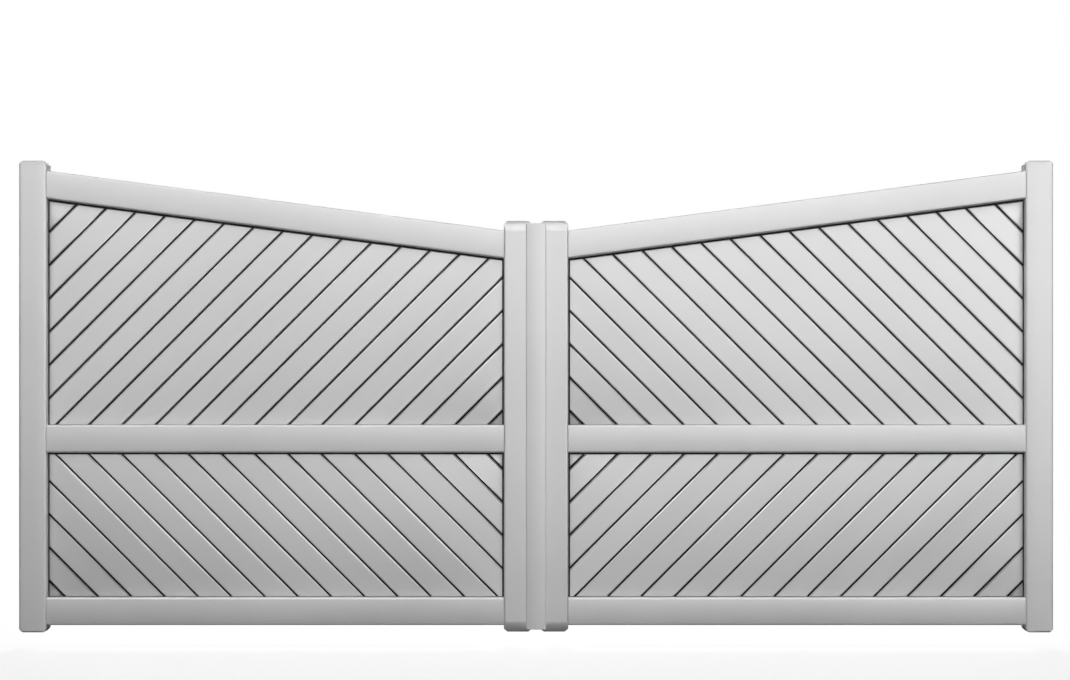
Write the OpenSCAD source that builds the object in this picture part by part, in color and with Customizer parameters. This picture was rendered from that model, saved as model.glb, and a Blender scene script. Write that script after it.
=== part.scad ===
// Double-leaf aluminium swing gate: two mirrored leaves with a sloping top
// rail, diagonal tongue-and-groove boards and a cover strip where they meet.
// Millimetres. +X runs across the opening, +Y points inwards (the way both
// leaves open) and +Z is up. The origin lies on the wall face of the left
// lower hinge bracket, at the centre of its four bolt holes.

/* [Gate] */
// Width over the outer sides of both hinge stiles
gate_w = 3500; // [3000:10:4000]
// Gap between the two meeting stiles
leaf_gap = 28; // [20:1:40]
// Height of the hinge stiles, end caps included
hinge_stile_h = 1596; // [1500:1:1800]
// Height of the meeting stiles, end caps included
meeting_stile_h = 1394; // [1300:1:1450]
// Gap between each hinge stile and the pillar face
pillar_gap = 20; // [18:1:25]

/* [Frame] */
// Width of a stile
stile_w = 95; // [85:1:110]
// Height of a rail, square to its length
rail_h = 94; // [84:1:110]
// Depth of every frame member
frame_d = 50; // [44:1:60]
// Wall thickness of the extrusions
wall = 2; // [1.6:0.1:3]
// Radius on the long edges of the members
edge_r = 6; // [3:0.5:8]
// Rise of the crowned front of a rail
rail_crown = 2; // [1:0.5:3]
// Radius that curves the inner side of a hinge stile's front
stile_crown_r = 190; // [150:5:300]
// Width of the flat part of a hinge stile's front
stile_flat_w = 56; // [45:1:70]
// Underside of the bottom rail above the stile ends
bottom_rail_z = 24.5; // [15:0.5:60]
// Underside of the middle rail above the stile ends
mid_rail_z = 608; // [500:1:700]
// Drop from a stile's top to the top edge of the top rail
top_rail_drop = 34; // [20:1:60]

/* [Boards] */
// Pitch of the diagonal boards
board_pitch = 80; // [70:1:100]
// Board thickness
board_t = 16; // [14:1:18]
// How far the board face lies behind the frame's front
board_setback = 27; // [22:1:31]
// Visible width of the slot between two boards
slot_w = 5; // [3:0.5:8]
// Radius on the long edges of a board
board_edge_r = 4; // [2:0.5:5]
// Wall thickness of a hollow board
board_wall = 1.5; // [1.2:0.1:2]
// Shift of the upper boards along their pitch
upper_shift = 50.5; // [0:0.5:79.5]
// Shift of the lower boards along their pitch
lower_shift = 9.4; // [0:0.1:79.5]

/* [Cover strip] */
// Width of the cover strip over the joint
strip_w = 68; // [60:1:80]
// How far the strip stands out in front of the frame
strip_proud = 15; // [13:0.5:20]
// Rise of its crowned face
strip_crown = 3; // [1:0.5:4]
// Distance from the stile ends to the strip ends
strip_end_gap = 12.5; // [5:0.5:30]

/* [Hinges] */
// Height of the lower hinge above the stile ends
lower_hinge_z = 180; // [120:5:300]
// Height of the upper hinge below the tops of the hinge stiles
upper_hinge_drop = 266; // [200:2:400]
// Pin radius
pin_r = 8; // [6:0.5:10]
// Radial running clearance in the barrel
pin_clear = 0.08; // [0.02:0.01:0.1]
// Outer radius of the hinge barrel
barrel_r = 15; // [13:0.5:18]
// Length of the hinge barrel
barrel_l = 50; // [40:1:70]
// Pin axis behind the rear of the frame
axis_behind = 22; // [20:1:30]
// Pin axis inside the outer side of the stile
axis_inset = 14; // [13:1:20]
// Bolt hole radius in the wall plates
bolt_hole_r = 5.5; // [4:0.5:7]
// Bolt spacing across the wall plate
bolt_dy = 44; // [36:1:50]
// Bolt spacing up the wall plate
bolt_dz = 80; // [70:1:90]

/* [Hidden] */
$fn = 64;

paint = [0.78, 0.79, 0.80];
cap_paint = [0.70, 0.71, 0.72];
steel = [0.62, 0.63, 0.65];
eps = 1; // overshoot of a cutting tool past the face that it leaves

// Leaf limits, measured outwards from the middle of the gate
meet_u = leaf_gap / 2;
meet_in_u = meet_u + stile_w;
hinge_u = gate_w / 2;
hinge_in_u = hinge_u - stile_w;
rail_l = hinge_in_u - meet_in_u;

// Top rail
slope = atan((hinge_stile_h - meeting_stile_h) / rail_l);
top_rail_end_z = meeting_stile_h - top_rail_drop;
top_rail_drop_v = rail_h / cos(slope);

// Channel that takes the board ends
channel_depth = 15;
board_bite = 12;
fit_gap = 0.3;
channel_y = board_setback - fit_gap;
channel_w = board_t + 2 * fit_gap;

// Tongue and groove, measured from the board's front face
tongue_t = 4;
tongue_y = (board_t - tongue_t) / 2;
tongue_bite = 3.7;
groove_depth = 4.5;

// End caps
hinge_cap_h = 14;
hinge_cap_chamfer = 13;
hinge_cap_bevel = 5;
meeting_cap_h = 40;
meeting_cap_chamfer = 12;
meeting_cap_r = 50;

// Cover strip
strip_wall = 2.5;
strip_foot_w = 17;

// Hinge hardware
upper_hinge_z = hinge_stile_h - upper_hinge_drop;
hinge_axis_u = hinge_u - axis_inset;
hinge_axis_y = frame_d + axis_behind;
wall_u = hinge_u + pillar_gap;
plate_t = 6;
plate_w = 70;
plate_h = 110;
plate_y = 97;
arm_t = 12;
arm_gap = 0.5;
strap_t = 6;
strap_w = 82;

// Places the gate in its own frame: origin on the left lower wall plate
module in_frame() {
    translate([wall_u, -plate_y, -lower_hinge_z]) children();
}

// A leaf is drawn on the right of the gate's middle; side -1 mirrors it
module on_side(side) {
    in_frame() {
        if (side < 0) mirror([1, 0, 0]) children();
        else children();
    }
}

module rounded_rect(w, d, r) {
    translate([r, 0]) square([w - 2 * r, d]);
    translate([0, r]) square([w, d - 2 * r]);
    for (x = [r, w - r], y = [r, d - r])
        translate([x, y]) circle(r);
}

// Closed aluminium section: the outline is child 0, and each place in slots
// is the x of an open channel (0 for the near side, w for the far side)
module member_section(w, front_skin, slots) {
    difference() {
        children();
        difference() {
            translate([wall, front_skin])
                square([w - 2 * wall, frame_d - wall - front_skin]);
            for (x = slots) channel_box(x, channel_depth + wall, wall);
        }
        for (x = slots) channel_box(x, channel_depth, 0);
    }
}

module channel_box(x, depth, skin) {
    start = x == 0 ? -eps : x - depth;
    translate([start, channel_y - skin])
        square([depth + eps, channel_w + 2 * skin]);
}

// Rail section with a crowned front; x is the rail's height
module rail_section(slots) {
    crown_r = (pow(rail_h / 2, 2) + pow(rail_crown, 2)) / (2 * rail_crown);
    member_section(rail_h, wall + rail_crown, slots)
        intersection() {
            rounded_rect(rail_h, frame_d, edge_r);
            translate([rail_h / 2, crown_r]) circle(crown_r, $fn = 256);
        }
}

// Hinge stile: flat outer part, then a front that curves back to the leaf
module hinge_stile_outline() {
    flat_x = stile_w - stile_flat_w;
    intersection() {
        rounded_rect(stile_w, frame_d, edge_r);
        union() {
            translate([flat_x, 0]) square([stile_flat_w, frame_d]);
            translate([flat_x, stile_crown_r]) circle(stile_crown_r, $fn = 256);
        }
    }
}

module hinge_stile(side) {
    front_dip = pow(stile_w - stile_flat_w, 2) / (2 * stile_crown_r);
    color(paint) on_side(side)
        translate([hinge_in_u, 0, hinge_cap_h])
            linear_extrude(hinge_stile_h - 2 * hinge_cap_h)
                member_section(stile_w, wall + front_dip, [0])
                    hinge_stile_outline();
}

module meeting_stile(side) {
    color(paint) on_side(side)
        translate([meet_u, 0, meeting_cap_h])
            linear_extrude(meeting_stile_h - 2 * meeting_cap_h)
                member_section(stile_w, wall, [stile_w])
                    rounded_rect(stile_w, frame_d, edge_r);
}

// A rail of the given section, its lower edge starting at z on the leaf
module rail(z, slots) {
    translate([hinge_in_u, 0, z]) rotate([0, -90, 0])
        linear_extrude(rail_l) rail_section(slots);
}

module mid_rail(side) {
    color(paint) on_side(side) rail(mid_rail_z, [0, rail_h]);
}

module bottom_rail(side) {
    color(paint) on_side(side) rail(bottom_rail_z, [rail_h]);
}

// The top rail climbs towards the hinge and is cut square to the stiles
module top_rail(side) {
    spare = rail_h;
    color(paint) on_side(side)
        intersection() {
            translate([meet_in_u, 0, top_rail_end_z]) rotate([0, -slope, 0])
                translate([rail_l / cos(slope) + spare, 0, -rail_h])
                    rotate([0, -90, 0])
                        linear_extrude(rail_l / cos(slope) + 2 * spare)
                            rail_section([0]);
            translate([meet_in_u, -eps, 0])
                cube([rail_l, frame_d + 2 * eps, hinge_stile_h]);
        }
}

// One hollow board across its pitch: groove at the left, tongue at the right
module board_section() {
    body_x = slot_w / 2;
    body_w = board_pitch - slot_w;
    cell_x = body_x + groove_depth + board_wall;
    cell_end = body_x + body_w - board_wall;
    cell_w = (cell_end - cell_x - board_wall) / 2;
    difference() {
        translate([body_x, 0])
            rounded_rect(body_w, board_t, board_edge_r);
        translate([body_x - eps, tongue_y - fit_gap])
            square([groove_depth + eps, tongue_t + 2 * fit_gap]);
        for (x = [cell_x, cell_x + cell_w + board_wall])
            translate([x, board_wall])
                square([cell_w, board_t - 2 * board_wall]);
    }
    translate([body_x + body_w - board_wall / 2, tongue_y])
        square([slot_w + tongue_bite + board_wall / 2, tongue_t]);
}

// Boards laid side by side along x, then turned to their diagonal
module board_field(turn, shift, first, last) {
    rotate([0, turn, 0])
        for (i = [first:last])
            translate([i * board_pitch + shift, board_setback, 0])
                linear_extrude(gate_w, center = true) board_section();
}

// Prism in the leaf's plane through the given [u, z] corners
module leaf_prism(corners) {
    translate([0, frame_d, 0]) rotate([90, 0, 0])
        linear_extrude(frame_d) polygon(corners);
}

// Underside of the top rail at a distance u from the gate's middle
function under_top_z(u) =
    top_rail_end_z + (u - meet_in_u) * tan(slope) - top_rail_drop_v;

module upper_boards(side) {
    u0 = meet_in_u - board_bite;
    u1 = hinge_in_u + board_bite;
    z0 = mid_rail_z + rail_h - board_bite;
    color(paint) on_side(side)
        intersection() {
            board_field(-45, upper_shift, 6, 26);
            leaf_prism([
                [u0, z0], [u1, z0],
                [u1, under_top_z(u1) + board_bite],
                [u0, under_top_z(u0) + board_bite]
            ]);
        }
}

module lower_boards(side) {
    u0 = meet_in_u - board_bite;
    u1 = hinge_in_u + board_bite;
    z0 = bottom_rail_z + rail_h - board_bite;
    z1 = mid_rail_z + board_bite;
    color(paint) on_side(side)
        intersection() {
            board_field(45, lower_shift, -5, 13);
            leaf_prism([[u0, z0], [u1, z0], [u1, z1], [u0, z1]]);
        }
}

// Cap on a hinge stile: the stile's outline with wide chamfers at its two
// sides and narrow ones at its front and back
module hinge_stile_cap(side, top) {
    color(cap_paint) on_side(side)
        translate([hinge_in_u, 0, top ? hinge_stile_h - hinge_cap_h : hinge_cap_h])
            mirror([0, 0, top ? 0 : 1])
                intersection() {
                    linear_extrude(hinge_cap_h) hinge_stile_outline();
                    bevelled_block(stile_w, frame_d, hinge_cap_h);
                }
}

// Block whose four upper edges are cut at 45 degrees
module bevelled_block(w, d, h) {
    intersection() {
        translate([0, d, 0]) rotate([90, 0, 0])
            linear_extrude(d) end_outline(w, h, hinge_cap_chamfer);
        rotate([90, 0, 90])
            linear_extrude(w) end_outline(d, h, hinge_cap_bevel);
    }
}

module end_outline(w, h, bevel) {
    polygon([
        [0, 0], [w, 0], [w, h - bevel], [w - bevel, h], [bevel, h], [0, h - bevel]
    ]);
}

// Cap on a meeting stile: its front curves back towards the end
module meeting_stile_cap(side, top) {
    base_z = top ? meeting_stile_h - meeting_cap_h : meeting_cap_h;
    color(cap_paint) on_side(side)
        translate([meet_u, 0, base_z]) mirror([0, 0, top ? 0 : 1])
            intersection() {
                linear_extrude(meeting_cap_h)
                    rounded_rect(stile_w, frame_d, edge_r);
                translate([0, frame_d, 0]) rotate([90, 0, 0])
                    linear_extrude(frame_d)
                        end_outline(stile_w, meeting_cap_h, meeting_cap_chamfer);
                translate([0, meeting_cap_r, 0]) rotate([0, 90, 0])
                    cylinder(h = stile_w, r = meeting_cap_r, $fn = 128);
            }
}

// Crowned strip with a hollow foot on the left leaf; its right wing stands
// clear in front of the other leaf
module cover_strip() {
    crown_r = (pow(strip_w / 2, 2) + pow(strip_crown, 2)) / (2 * strip_crown);
    foot_x = -strip_w / 2;
    foot_front = -strip_proud + strip_crown + strip_wall / 2;
    color(paint) in_frame()
        translate([0, 0, strip_end_gap])
            linear_extrude(meeting_stile_h - 2 * strip_end_gap) {
                intersection() {
                    difference() {
                        translate([0, crown_r - strip_proud])
                            circle(crown_r, $fn = 256);
                        translate([0, crown_r - strip_proud])
                            circle(crown_r - strip_wall, $fn = 256);
                    }
                    translate([foot_x, -strip_proud])
                        square([strip_w, strip_proud]);
                }
                difference() {
                    translate([foot_x, foot_front])
                        square([strip_foot_w, -foot_front]);
                    translate([foot_x + wall, foot_front - eps])
                        square([strip_foot_w - 2 * wall, -foot_front - wall + eps]);
                }
            }
}

// Strap and barrel on the rear of the hinge stile
module hinge_strap(side, z) {
    block_w = barrel_r + axis_inset - 2;
    color(steel) on_side(side)
        translate([0, 0, z])
            difference() {
                union() {
                    translate([hinge_u - strap_w - 4, frame_d, 0])
                        cube([strap_w, strap_t, barrel_l]);
                    translate([hinge_axis_u - barrel_r, frame_d, 0])
                        cube([block_w, axis_behind, barrel_l]);
                    translate([hinge_axis_u, hinge_axis_y, 0])
                        cylinder(r = barrel_r, h = barrel_l);
                }
                translate([hinge_axis_u, hinge_axis_y, -eps])
                    cylinder(r = pin_r + pin_clear, h = barrel_l + 2 * eps);
            }
}

// Wall plate, arm and upright pin, bolted to the pillar's side
module hinge_bracket(side, z) {
    arm_r = barrel_r - 1;
    arm_end_u = wall_u - plate_t;
    pin_l = barrel_l + arm_t + arm_gap + 4;
    color(steel) on_side(side)
        translate([0, 0, z]) {
            difference() {
                translate([arm_end_u, plate_y - plate_w / 2, -plate_h / 2])
                    cube([plate_t, plate_w, plate_h]);
                for (dy = [-1, 1], dz = [-1, 1])
                    translate([arm_end_u - eps, plate_y + dy * bolt_dy / 2, dz * bolt_dz / 2])
                        rotate([0, 90, 0])
                            cylinder(r = bolt_hole_r, h = plate_t + 2 * eps);
            }
            translate([0, 0, -arm_gap - arm_t]) {
                translate([hinge_axis_u, hinge_axis_y, 0])
                    cylinder(r = arm_r, h = arm_t);
                translate([hinge_axis_u, hinge_axis_y - arm_r, 0])
                    cube([arm_end_u - hinge_axis_u, 2 * arm_r, arm_t]);
                translate([hinge_axis_u, hinge_axis_y, 0])
                    cylinder(r = pin_r, h = pin_l);
            }
        }
}

hinge_stile(-1);  // left_hinge_stile
meeting_stile(-1);  // left_meeting_stile
top_rail(-1);  // left_top_rail
mid_rail(-1);  // left_mid_rail
bottom_rail(-1);  // left_bottom_rail
upper_boards(-1);  // left_upper_boards
lower_boards(-1);  // left_lower_boards
hinge_stile_cap(-1, true);  // left_hinge_stile_top_cap
hinge_stile_cap(-1, false);  // left_hinge_stile_bottom_cap
meeting_stile_cap(-1, true);  // left_meeting_stile_top_cap
meeting_stile_cap(-1, false);  // left_meeting_stile_bottom_cap
hinge_strap(-1, upper_hinge_z);  // left_upper_hinge_strap
hinge_strap(-1, lower_hinge_z);  // left_lower_hinge_strap
hinge_stile(1);  // right_hinge_stile
meeting_stile(1);  // right_meeting_stile
top_rail(1);  // right_top_rail
mid_rail(1);  // right_mid_rail
bottom_rail(1);  // right_bottom_rail
upper_boards(1);  // right_upper_boards
lower_boards(1);  // right_lower_boards
hinge_stile_cap(1, true);  // right_hinge_stile_top_cap
hinge_stile_cap(1, false);  // right_hinge_stile_bottom_cap
meeting_stile_cap(1, true);  // right_meeting_stile_top_cap
meeting_stile_cap(1, false);  // right_meeting_stile_bottom_cap
hinge_strap(1, upper_hinge_z);  // right_upper_hinge_strap
hinge_strap(1, lower_hinge_z);  // right_lower_hinge_strap
cover_strip();
hinge_bracket(-1, upper_hinge_z);  // left_upper_hinge_bracket
hinge_bracket(-1, lower_hinge_z);  // left_lower_hinge_bracket
hinge_bracket(1, upper_hinge_z);  // right_upper_hinge_bracket
hinge_bracket(1, lower_hinge_z);  // right_lower_hinge_bracket
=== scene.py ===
"""Dresses the double-leaf aluminium swing gate and sets up its studio.

Every piece is drawn in leaf coordinates: u runs outwards from the gate's
middle, y from the front of the frame to the rear, and z up from the ends of
the stiles. GateFrame turns them into the row frame, in metres.
"""

import logging
import math
from dataclasses import dataclass
from enum import Enum
from typing import Any, Callable, Sequence

import bmesh
import bpy
from mathutils import Matrix, Vector


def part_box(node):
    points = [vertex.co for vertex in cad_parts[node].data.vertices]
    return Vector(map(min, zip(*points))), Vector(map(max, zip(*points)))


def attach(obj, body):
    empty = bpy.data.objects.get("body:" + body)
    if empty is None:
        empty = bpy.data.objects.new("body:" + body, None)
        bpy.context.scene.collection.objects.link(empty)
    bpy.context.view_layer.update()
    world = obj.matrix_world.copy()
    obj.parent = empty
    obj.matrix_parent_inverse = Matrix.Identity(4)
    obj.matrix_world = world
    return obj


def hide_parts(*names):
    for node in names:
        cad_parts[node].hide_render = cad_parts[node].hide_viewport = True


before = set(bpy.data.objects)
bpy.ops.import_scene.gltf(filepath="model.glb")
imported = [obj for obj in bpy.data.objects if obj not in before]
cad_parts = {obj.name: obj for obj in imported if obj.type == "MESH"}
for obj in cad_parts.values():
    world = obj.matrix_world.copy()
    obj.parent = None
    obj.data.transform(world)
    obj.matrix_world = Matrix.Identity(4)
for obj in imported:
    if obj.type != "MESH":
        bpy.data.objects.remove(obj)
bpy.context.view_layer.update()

LOG = logging.getLogger("gate")
Point2 = tuple[float, float]


class Side(Enum):
    """The two leaves, with the way that u runs along the row's X."""

    LEFT = -1
    RIGHT = 1

    @property
    def word(self) -> str:
        """The side as the first part of a node's name."""
        return self.name.lower()


class End(Enum):
    """The two ends of a stile, with the way they face."""

    BOTTOM = -1
    TOP = 1


class Place(Enum):
    """The two places of a hinge on its stile."""

    LOWER = "lower"
    UPPER = "upper"


class Slot(Enum):
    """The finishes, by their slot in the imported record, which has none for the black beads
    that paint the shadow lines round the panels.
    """

    FRAME = "frame_paint"
    BOARD = "board_paint"
    STRIP = "strip_paint"
    CAP = "end_cap"
    STEEL = "hinge_steel"
    # The black beads of painted shade round the panels.
    SEAL = ""


# --------------------------------------------------------------------------
# Shading
# --------------------------------------------------------------------------


class Value:
    """A shader socket that carries a number and can be used in arithmetic."""

    def __init__(self, shading: "Shading", socket: bpy.types.NodeSocket) -> None:
        """Keeps the socket and the tree that it belongs to."""
        self.shading = shading
        self.socket = socket

    def __add__(self, other: "Value | float") -> "Value":
        """Self plus other."""
        return self.shading.maths("ADD", self, other)

    def __radd__(self, other: float) -> "Value":
        """Other plus self."""
        return self.shading.maths("ADD", other, self)

    def __mul__(self, other: "Value | float") -> "Value":
        """Self times other."""
        return self.shading.maths("MULTIPLY", self, other)

    def __rmul__(self, other: float) -> "Value":
        """Other times self."""
        return self.shading.maths("MULTIPLY", other, self)


class Shading:
    """Builds one node tree."""

    def __init__(self, tree: bpy.types.NodeTree) -> None:
        """Empties the tree."""
        self.tree = tree
        tree.nodes.clear()

    def node(
        self,
        kind: str,
        settings: dict[str, Any] | None = None,
        inputs: dict[str | int, Any] | None = None,
    ) -> bpy.types.Node:
        """Adds a node.

        Args:
            kind: the node's type.
            settings: properties of the node, set before its sockets.
            inputs: a number, colour, Value or output socket for each input.

        Returns:
            The new node.
        """
        node = self.tree.nodes.new(kind)
        for name, setting in (settings or {}).items():
            setattr(node, name, setting)
        for key, given in (inputs or {}).items():
            if isinstance(given, Value):
                given = given.socket
            if isinstance(given, bpy.types.NodeSocket):
                self.tree.links.new(given, node.inputs[key])
            else:
                node.inputs[key].default_value = given
        return node

    def maths(self, operation: str, first: Any, second: Any) -> Value:
        """A Math node on two values, and what comes out of it."""
        node = self.node(
            "ShaderNodeMath", {"operation": operation}, {0: first, 1: second}
        )
        return Value(self, node.outputs[0])

    def vector(self, operation: str, inputs: dict[str | int, Any]) -> bpy.types.Node:
        """A Vector Math node."""
        return self.node("ShaderNodeVectorMath", {"operation": operation}, inputs)

    def ramp(self, value: Value, low: float, high: float) -> Value:
        """How far value lies between low and high, smoothly from 0 to 1."""
        node = self.node(
            "ShaderNodeMapRange",
            {"interpolation_type": "SMOOTHSTEP"},
            {"Value": value, "From Min": low, "From Max": high},
        )
        return Value(self, node.outputs[0])

    def place(self) -> bpy.types.NodeSocket:
        """The object's own coordinates."""
        return self.node("ShaderNodeTexCoord").outputs["Object"]

    def carried(self, name: str) -> Value:
        """The number that the mesh carries under that name."""
        node = self.node("ShaderNodeAttribute", {"attribute_name": name})
        return Value(self, node.outputs["Fac"])

    def noise(
        self,
        scale: float,
        detail: float,
        stretch: tuple[float, float, float] = (1.0, 1.0, 1.0),
    ) -> Value:
        """Noise on the object's own coordinates.

        Args:
            scale: features a metre, before the stretch.
            detail: levels of finer noise.
            stretch: how much finer the noise is along each axis.

        Returns:
            The noise, about 0.5 on average.
        """
        stretched = self.node(
            "ShaderNodeMapping",
            {"vector_type": "POINT"},
            {"Vector": self.place(), "Scale": stretch},
        )
        node = self.node(
            "ShaderNodeTexNoise",
            {"noise_dimensions": "3D"},
            {"Vector": stretched.outputs[0], "Scale": scale, "Detail": detail},
        )
        return Value(self, node.outputs[0])

    def shades(self, tone: Value, colour: Sequence[float], spread: Point2) -> Any:
        """Varies a colour with a noise.

        Args:
            tone: the noise.
            colour: the colour's red, green and blue.
            spread: what they are multiplied by where the noise is low and high.

        Returns:
            The varied colour's socket.
        """
        low, high = ((*(c * share for c in colour), 1.0) for share in spread)
        node = self.node(
            "ShaderNodeMix",
            {"data_type": "RGBA"},
            {0: self.ramp(tone, 0.3, 0.7), 6: low, 7: high},
        )
        return node.outputs[2]

    def bump(self, height: Value, depth: float, strength: float) -> Any:
        """A Bump node's normal for height, which is depth metres at 1."""
        node = self.node(
            "ShaderNodeBump",
            inputs={"Height": height, "Distance": depth, "Strength": strength},
        )
        return node.outputs[0]

    def principled(self, inputs: dict[str | int, Any]) -> Any:
        """A Principled shader with those inputs."""
        return self.node("ShaderNodeBsdfPrincipled", inputs=inputs).outputs[0]

    def matt(self, level: float) -> Any:
        """A dull grey surface."""
        node = self.node("ShaderNodeBsdfDiffuse", inputs={"Color": grey(level)})
        return node.outputs[0]

    def glow(self, strength: Any, kind: str = "ShaderNodeEmission") -> Any:
        """White light of that strength from a surface, or from the background."""
        node = self.node(kind, inputs={"Color": grey(1.0), "Strength": strength})
        return node.outputs[0]

    def blend(self, share: Value, first: Any, second: Any) -> Any:
        """Mixes two shaders, with that share of the second."""
        node = self.node("ShaderNodeMixShader", inputs={0: share, 1: first, 2: second})
        return node.outputs[0]

    def show(self, surface: Any, kind: str = "ShaderNodeOutputMaterial") -> None:
        """Links a shader to the tree's output."""
        self.node(kind, inputs={"Surface": surface})


def grey(level: float) -> tuple[float, float, float, float]:
    """A neutral colour of that level."""
    return (level, level, level, 1.0)


def new_material(name: str) -> tuple[bpy.types.Material, Shading]:
    """An empty material of that name, and the shading that fills it."""
    material = bpy.data.materials.new(name)
    material.use_nodes = True
    return material, Shading(material.node_tree)


@dataclass(frozen=True)
class Finish:
    """A finish of the gate: a tone over its colour and gloss, and a fine relief.

    Its shades are what the colour is multiplied by where the tone is low and
    high. The relief has a number of features a metre and a depth in metres.
    """

    name: str
    colour: tuple[float, float, float]
    shades: Point2 = (0.95, 1.05)
    roughness: float = 0.42
    gloss_spread: float = 0.10
    metallic: float = 0.0
    specular: float = 0.5
    relief_scale: float = 620.0
    relief_depth: float = 0.00005
    relief_strength: float = 0.5

    def gloss(self, shading: Shading) -> Value:
        """The noise that varies the roughness."""
        raise NotImplementedError

    def tone(self, shading: Shading, gloss: Value) -> Value:
        """The noise that varies the colour, which is the gloss's own."""
        return gloss

    def relief(self, shading: Shading) -> Value:
        """The height of the fine relief."""
        return shading.noise(self.relief_scale, 2.0)

    def surface(self, shading: Shading) -> Any:
        """Builds the finish's nodes and returns its shader's socket."""
        gloss = self.gloss(shading)
        tone = self.tone(shading, gloss)
        height = self.relief(shading)
        return shading.principled(
            {
                "Base Color": shading.shades(tone, self.colour, self.shades),
                "Roughness": self.roughness - self.gloss_spread / 2 + self.gloss_spread * gloss,
                "Metallic": self.metallic,
                "Specular IOR Level": self.specular,
                "Normal": shading.bump(height, self.relief_depth, self.relief_strength),
            }
        )

    def material(self) -> bpy.types.Material:
        """Builds the material."""
        material, shading = new_material(self.name)
        shading.show(self.surface(shading))
        return material


@dataclass(frozen=True)
class PowderCoat(Finish):
    """Satin powder coat: soft tone clouds, a fine grain and a slight peel."""

    cloud_scale: float = 1.7
    grain_scale: float = 900.0
    grain_share: float = 0.25
    relief_depth: float = 0.00006
    relief_strength: float = 0.35

    def gloss(self, shading: Shading) -> Value:
        """Soft clouds."""
        return shading.noise(self.cloud_scale, 3.0)

    def tone(self, shading: Shading, gloss: Value) -> Value:
        """The clouds with a fine grain."""
        grain = shading.noise(self.grain_scale, 1.0)
        return (1 - self.grain_share) * gloss + self.grain_share * grain


@dataclass(frozen=True)
class BoardCoat(PowderCoat):
    """Powder coat on boards: each in its own tone, with painted shade, near black and dull, deep
    in the joints.
    """

    # Between these depths the coat turns into painted shade of this level, gloss and sheen.
    joint_start: float = 0.0023
    joint_end: float = 0.0031
    joint_level: float = 0.012
    joint_roughness: float = 0.85
    joint_specular: float = 0.05

    def tone(self, shading: Shading, gloss: Value) -> Value:
        """Adds each board's own tone."""
        return super().tone(shading, gloss) + shading.carried("board_tone")

    def surface(self, shading: Shading) -> Any:
        """Paints shade over the coat, near black and dull, where it lies deep in a joint."""
        coat = super().surface(shading)
        depth = shading.carried("joint_depth")
        # Painted shade: a near-black, dull coat that stands in for the shadow deep in each
        # groove.
        joint = shading.principled(
            {
                "Base Color": grey(self.joint_level),
                "Roughness": self.joint_roughness,
                "Specular IOR Level": self.joint_specular,
            }
        )
        return shading.blend(shading.ramp(depth, self.joint_start, self.joint_end), coat, joint)


@dataclass(frozen=True)
class MouldedCap(Finish):
    """Matt plastic, coloured through: a faint mottle and a spark-eroded grain."""

    roughness: float = 0.43
    gloss_spread: float = 0.12
    relief_scale: float = 1500.0
    mottle_scale: float = 24.0

    def gloss(self, shading: Shading) -> Value:
        """A faint mottle."""
        return shading.noise(self.mottle_scale, 3.0)


@dataclass(frozen=True)
class ShadowBeadRubber(Finish):
    """Near-black rubber for the beads that paint the shadow lines round the panels: an uneven,
    dusty bloom over a moulded grain.
    """

    shades: Point2 = (0.7, 1.5)
    roughness: float = 0.72
    gloss_spread: float = 0.16
    specular: float = 0.05
    relief_scale: float = 1800.0
    bloom_scale: float = 35.0

    def gloss(self, shading: Shading) -> Value:
        """An uneven bloom."""
        return shading.noise(self.bloom_scale, 4.0)


@dataclass(frozen=True)
class BrushedSteel(Finish):
    """Zinc-plated hinge steel: upright brush lines over dull plating clouds."""

    shades: Point2 = (0.8, 1.1)
    roughness: float = 0.60
    gloss_spread: float = 0.20
    metallic: float = 1.0
    relief_scale: float = 1400.0
    relief_depth: float = 0.00004
    cloud_scale: float = 60.0
    brush_share: float = 0.4
    brush_stretch: tuple[float, float, float] = (1.0, 1.0, 0.04)

    def relief(self, shading: Shading) -> Value:
        """The brush lines."""
        return shading.noise(self.relief_scale, 3.0, self.brush_stretch)

    def gloss(self, shading: Shading) -> Value:
        """Plating clouds and brush lines together."""
        clouds = shading.noise(self.cloud_scale, 4.0)
        return (1 - self.brush_share) * clouds + self.brush_share * self.relief(shading)


# --------------------------------------------------------------------------
# Places and outlines
# --------------------------------------------------------------------------


@dataclass(frozen=True)
class LeafBox:
    """A CAD node's box in leaf coordinates."""

    inner: float
    outer: float
    front: float
    rear: float
    bottom: float
    top: float

    @property
    def width(self) -> float:
        """Size along u."""
        return self.outer - self.inner

    @property
    def depth(self) -> float:
        """Size along y."""
        return self.rear - self.front

    @property
    def height(self) -> float:
        """Size along z."""
        return self.top - self.bottom


@dataclass(frozen=True)
class GateFrame:
    """Where the leaf coordinates lie in the row frame."""

    middle_x: float
    front_y: float
    base_z: float

    @classmethod
    def measure(cls) -> "GateFrame":
        """Reads the gate's middle, front and foot from the hinge stiles."""
        left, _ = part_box("left_hinge_stile")
        _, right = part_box("right_hinge_stile")
        foot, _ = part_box("left_hinge_stile_bottom_cap")
        return cls((left.x + right.x) / 2, left.y, foot.z)

    def matrix(self, side: Side) -> Matrix:
        """The matrix from a leaf's coordinates to the row frame."""
        place = Matrix.Translation((self.middle_x, self.front_y, self.base_z))
        return place @ Matrix.Diagonal((side.value, 1.0, 1.0, 1.0))

    def box(self, side: Side, node: str) -> LeafBox:
        """The box of a leaf's node, named without its side."""
        low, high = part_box(f"{side.word}_{node}")
        across = sorted(side.value * (x - self.middle_x) for x in (low.x, high.x))
        return LeafBox(
            across[0],
            across[1],
            low.y - self.front_y,
            high.y - self.front_y,
            low.z - self.base_z,
            high.z - self.base_z,
        )


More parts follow.
